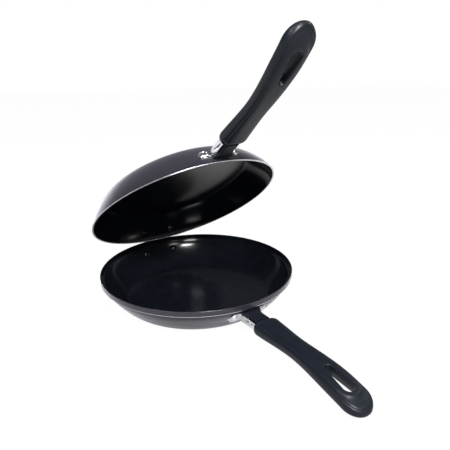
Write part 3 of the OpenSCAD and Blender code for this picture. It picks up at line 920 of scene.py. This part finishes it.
def ease_edges(bm, width):
    """Rounds the square edges of a pressed sheet, apart from those that end in a tight corner."""
    bmesh.ops.recalc_face_normals(bm, faces=bm.faces)
    tight = {vert for edge in bm.edges if edge.calc_length() < TIGHT_EDGE for vert in edge.verts}
    for face in bm.faces:
        tight.update(corner.vert for corner in face.loops if corner.calc_angle() < TIGHT_CORNER)
    square = [
        edge for edge in bm.edges
        if SQUARE_FROM < edge.calc_face_angle(0) < SQUARE_TO and not tight.intersection(edge.verts)
    ]
    bmesh.ops.bevel(
        bm, geom=square, offset=width, segments=EASE_SEGMENTS, profile=0.5, affect="EDGES",
        material=-1, clamp_overlap=False,
    )
    bmesh.ops.dissolve_degenerate(bm, dist=JOIN_DIST, edges=bm.edges)


def wall_at(shape, side, depth):
    """Radius and lean of the outside of a side wall at a depth."""
    top_r, top_depth = wall_top(side, shape)
    high, wide = shape.pan_h - top_depth, top_r - shape.base_r
    turn = math.asin(((depth - top_depth) / high) ** (1 / shape.wall_shape))
    radius = shape.base_r + wide * math.cos(turn) ** shape.wall_shape
    lean = wide / high * math.tan(turn) ** (2 - shape.wall_shape)
    return radius, math.atan(lean)


def on_wall(shape, side, x, depth):
    """Placing of a piece on the front of a side wall, with +Z along its outward normal."""
    radius, lean = wall_at(shape, side, depth)
    turned = Matrix.Rotation(math.asin(x / radius) - math.pi / 2, 4, "Z")
    tilted = Matrix.Rotation(math.pi / 2 + lean, 4, "Y")
    return turned @ Matrix.Translation((radius, 0, -depth)) @ tilted


def ear_bead(bm, bracket, place):
    """Half-round bead pressed up round the edge of a riveted ear."""
    others = set(bm.verts)
    made = [
        bm.verts.new((
            bracket.bead_r - bracket.bead_w * math.cos(math.pi * i / BEAD_STEPS), 0.0,
            bracket.bead_h * math.sin(math.pi * i / BEAD_STEPS),
        ))
        for i in range(BEAD_STEPS + 1)
    ]
    edges = [bm.edges.new(pair) for pair in zip(made, made[1:] + made[:1])]
    bmesh.ops.spin(
        bm, geom=made + edges, cent=(0, 0, 0), axis=(0, 0, 1),
        angle=math.tau, steps=BEAD_SPIN_STEPS, use_merge=True,
    )
    bmesh.ops.transform(bm, matrix=place, verts=[vert for vert in bm.verts if vert not in others])


def arm_rib(bm, bracket, rim_r, side):
    """Long rib with round ends, pressed out of one arm of the channel."""
    ball = bmesh.ops.create_uvsphere(bm, u_segments=RIB_COLUMNS, v_segments=RIB_ROWS, radius=1.0)
    middle = -(rim_r + (bracket.rib_from + bracket.rib_to) / 2)
    straight = (bracket.rib_to - bracket.rib_from) / 2 - bracket.rib_w
    for vert in ball["verts"]:
        end = math.copysign(straight, vert.co.y) if abs(vert.co.y) > TINY else 0.0
        vert.co = (
            side * (bracket.arm_x + vert.co.x * bracket.rib_h),
            middle + vert.co.y * bracket.rib_w + end,
            vert.co.z * bracket.rib_w - bracket.rib_depth,
        )


class FLIPPAN_OT_brackets(bpy.types.Operator):
    """Round the edges of the plated brackets and press beads and ribs into the handle brackets"""

    bl_idname = "flippan.brackets"
    bl_label = "Brackets"

    def execute(self, context):
        shape = context.scene.flip_pan_shape
        bracket = context.scene.flip_pan_bracket
        material = chrome_material(context.scene.flip_pan_finish)
        for side, place in PANS.items():
            for node in (side + "_handle_bracket", side + "_hinge_bracket"):
                bm = merged_copy(node)
                ease_edges(bm, bracket.edge)
                finish_piece(node + "_plated", bm, IN_PLACE, (material,), side, [node])
            bm = bmesh.new()
            for hand in (-1, 1):
                ear = on_wall(shape, side, hand * bracket.ear_x, bracket.ear_drop)
                ear_bead(bm, bracket, ear @ Matrix.Translation((0, 0, bracket.plate_face)))
                arm_rib(bm, bracket, shape.rim_d / 2, hand)
            finish_piece(side + "_bracket_beads", bm, place(), (material,), side, [])
        return {"FINISHED"}


class FLIPPAN_OT_rivets(bpy.types.Operator):
    """Finish the rivets, whose heads inside the pans are coated with the pan"""

    bl_idname = "flippan.rivets"
    bl_label = "Rivets"

    def execute(self, context):
        shape = context.scene.flip_pan_shape
        finish = context.scene.flip_pan_finish
        steel = steel_material(finish)
        coating = coating_material(finish)
        for side, place in PANS.items():
            to_pan = place().inverted()
            for row, hand in itertools.product(("_handle", "_hinge"), ("_left", "_right")):
                node = side + row + "_rivet" + hand
                bm = merged_copy(node)
                for face in bm.faces:
                    middle = to_pan @ face.calc_center_median()
                    radius, lean = wall_at(shape, side, -middle.z)
                    within = (radius - math.hypot(middle.x, middle.y)) * math.cos(lean)
                    face.material_index = COATED if within > shape.wall_t / 2 else PLAIN
                finish_piece(
                    node + "_finished", bm, IN_PLACE, (steel, coating),
                    side, [node],
                )
        return {"FINISHED"}


class FLIPPAN_OT_fasteners(bpy.types.Operator):
    """Finish the screws, nuts, washers and the hinge pin"""

    bl_idname = "flippan.fasteners"
    bl_label = "Fasteners"

    def execute(self, context):
        material = steel_material(context.scene.flip_pan_finish)
        words = ("screw", "nut", "washer", "hinge_pin")
        for name, node in frame["nodes"].items():
            if any(word in name for word in words):
                node.data.materials.clear()
                node.data.materials.append(material)
        return {"FINISHED"}


# ---- Stage ----

SENSOR_W = 36
LAMP_TARGET = Vector((0, 0, 0.08))
# Name, place and size in metres, power in watts, and whether only mirroring surfaces show it
LAMPS = (
    ("key_lamp", (-0.23, -0.93, 0.98), (0.34, 0.11), 18, False),
    ("key_glint", (-0.24, -0.94, 0.99), (0.36, 0.12), 22, True),
    ("low_glint", (-0.43, -1.18, 0.62), (0.36, 0.05), 9, True),
    ("left_glint", (0.105, -1.07, 0.785), (0.24, 0.16), 1.6, True),
    ("side_lamp", (-1.2, -0.3, 1.3), (0.5, 0.5), 12, False),
    ("fill_lamp", (1.3, -0.3, 1.2), (0.5, 0.5), 5, False),
)
FLOOR_GLOW = 1.20
FLOOR_WHITE = 0.8
FLOOR_ROUGHNESS = 0.9
FLOOR_R = 6.0
FLOOR_SIDES = 96
# Painted shadow: near the object the floor's glow, as mirroring surfaces see it, is darker: how dark,
# and in rim radii how far out and how far back
FLOOR_PAINTED_SHADOW = 0.45
PAINTED_SHADOW_REACH = 1.45
PAINTED_SHADOW_BACK = 0.25


def make_camera(studio, rim_z):
    back = Vector((
        math.sin(studio.azimuth) * math.cos(studio.elevation),
        -math.cos(studio.azimuth) * math.cos(studio.elevation),
        math.sin(studio.elevation),
    ))
    level = Vector((math.cos(studio.azimuth), math.sin(studio.azimuth), 0))
    rise = back.cross(level)
    right = math.cos(studio.roll) * level + math.sin(studio.roll) * rise
    up = back.cross(right)
    turned = Matrix((right, up, back)).transposed().to_4x4()
    data = bpy.data.cameras.new("studio_camera")
    data.lens = studio.focal
    data.sensor_width = SENSOR_W
    data.shift_x = studio.shift_x
    data.shift_y = studio.shift_y
    camera = bpy.data.objects.new("studio_camera", data)
    target = Vector((studio.target_x, studio.target_y, rim_z))
    camera.matrix_world = Matrix.Translation(target + back * studio.distance) @ turned
    bpy.context.scene.collection.objects.link(camera)
    bpy.context.scene.camera = camera


def make_lamp(name, place, size, power, mirrored_only):
    """Oval lamp aimed at the object, that may show in what mirrors it without lighting the rest."""
    data = bpy.data.lights.new(name, "AREA")
    data.shape = "ELLIPSE"
    data.size, data.size_y = size
    data.energy = power
    lamp = bpy.data.objects.new(name, data)
    lamp.visible_diffuse = not mirrored_only
    way = LAMP_TARGET - Vector(place)
    lamp.matrix_world = Matrix.Translation(place) @ way.to_track_quat("-Z", "Y").to_matrix().to_4x4()
    bpy.context.scene.collection.objects.link(lamp)


def make_world(studio):
    """White behind the object, and a room above it that is dim in what the metal mirrors."""
    world = bpy.data.worlds.new("studio_world")
    nodes = ShaderNodes(world)
    background = nodes.tree.nodes["Background"]
    background.inputs["Color"].default_value = (1, 1, 1, 1)
    rays = nodes.node("ShaderNodeLightPath").outputs
    way = nodes.node("ShaderNodeTexCoord").outputs["Generated"]
    height = nodes.node("ShaderNodeSeparateXYZ")
    nodes.link(way, height.inputs["Vector"])
    low, high = math.sin(studio.white_below), math.sin(studio.dim_above)
    room = nodes.ranged(height.outputs["Z"], low, high, 1.0, studio.dim_level, "SMOOTHSTEP")
    mirrored = nodes.larger(rays["Is Glossy Ray"], rays["Is Transmission Ray"])
    level = nodes.mixed(mirrored, studio.ambient, room)
    strength = nodes.larger(level, rays["Is Camera Ray"])
    nodes.link(strength, background.inputs["Strength"])
    bpy.context.scene.world = world


def floor_material(finish, rim_r):
    """Floor that is white to the eye, keeps a soft shadow, and has a painted shadow near the object
    where it is mirrored.
    """
    recipe = Recipe("studio_floor", finish.floor, roughness=FLOOR_ROUGHNESS)
    glow = recipe.node("ShaderNodeEmission")
    mix = recipe.node("ShaderNodeMixShader")
    rays = recipe.node("ShaderNodeLightPath").outputs
    away = recipe.node("ShaderNodeVectorMath", operation="DISTANCE")
    away.inputs[1].default_value = (0, PAINTED_SHADOW_BACK * rim_r, 0)
    recipe.link(recipe.where, away.inputs[0])
    # Painted shadow: the floor's glow is darker close to the object, for glossy rays only
    dark, clear_r = FLOOR_GLOW * FLOOR_PAINTED_SHADOW, PAINTED_SHADOW_REACH * rim_r
    painted_shadow = recipe.ranged(away.outputs["Value"], rim_r, clear_r, dark, FLOOR_GLOW, "SMOOTHSTEP")
    recipe.link(recipe.mixed(rays["Is Glossy Ray"], FLOOR_GLOW, painted_shadow), glow.inputs["Strength"])
    seen = recipe.larger(rays["Is Camera Ray"], rays["Is Glossy Ray"])
    seen = recipe.larger(seen, rays["Is Transmission Ray"])
    recipe.link(recipe.ranged(seen, 0.0, 1.0, 0.0, FLOOR_WHITE), mix.inputs["Fac"])
    recipe.link(recipe.shader.outputs["BSDF"], mix.inputs[1])
    recipe.link(glow.outputs["Emission"], mix.inputs[2])
    recipe.link(mix.outputs["Shader"], recipe.tree.nodes["Material Output"].inputs["Surface"])
    return recipe.material


def make_floor(finish, rim_r):
    bm = bmesh.new()
    bmesh.ops.create_circle(bm, cap_ends=True, segments=FLOOR_SIDES, radius=FLOOR_R)
    mesh = bpy.data.meshes.new("studio_floor")
    bm.to_mesh(mesh)
    bm.free()
    mesh.materials.append(floor_material(finish, rim_r))
    floor = bpy.data.objects.new("studio_floor", mesh)
    bpy.context.scene.collection.objects.link(floor)


class FLIPPAN_OT_stage(bpy.types.Operator):
    """Set up the floor, the surroundings, the lamps and the camera"""

    bl_idname = "flippan.stage"
    bl_label = "Stage"

    def execute(self, context):
        scene = context.scene
        make_floor(scene.flip_pan_finish, scene.flip_pan_shape.rim_d / 2)
        make_world(scene.flip_pan_studio)
        for lamp in LAMPS:
            make_lamp(*lamp)
        make_camera(scene.flip_pan_studio, PIN.z)
        scene.view_settings.view_transform = "Standard"
        return {"FINISHED"}


# ---- Panel, registration and the run ----

GROUPS = {
    "flip_pan_shape": FlipPanShape,
    "flip_pan_grip": FlipPanGrip,
    "flip_pan_bracket": FlipPanBracket,
    "flip_pan_finish": FlipPanFinish,
    "flip_pan_studio": FlipPanStudio,
}
OPERATORS = (
    FLIPPAN_OT_pans,
    FLIPPAN_OT_grips,
    FLIPPAN_OT_brackets,
    FLIPPAN_OT_rivets,
    FLIPPAN_OT_fasteners,
    FLIPPAN_OT_stage,
)


class FLIPPAN_PT_sidebar(bpy.types.Panel):
    """Sizes, colours and pieces of the flip pan"""

    bl_label = "Flip Pan"
    bl_space_type = "VIEW_3D"
    bl_region_type = "UI"
    bl_category = "Flip Pan"

    def draw(self, context):
        for group in GROUPS:
            values = getattr(context.scene, group)
            box = self.layout.box()
            for key in values.bl_rna.properties.keys():
                if key not in ("rna_type", "name"):
                    box.prop(values, key)
        for operator in OPERATORS:
            self.layout.operator(operator.bl_idname)


CLASSES = (*GROUPS.values(), *OPERATORS, FLIPPAN_PT_sidebar)


def register():
    for cls in CLASSES:
        bpy.utils.register_class(cls)
    for name, group in GROUPS.items():
        setattr(bpy.types.Scene, name, PointerProperty(type=group))


def unregister():
    for name in GROUPS:
        delattr(bpy.types.Scene, name)
    for cls in reversed(CLASSES):
        bpy.utils.unregister_class(cls)


def main():
    register()
    bpy.ops.flippan.pans()
    bpy.ops.flippan.grips()
    bpy.ops.flippan.brackets()
    bpy.ops.flippan.rivets()
    bpy.ops.flippan.fasteners()
    bpy.ops.flippan.stage()


if __name__ == "__main__":
    main()
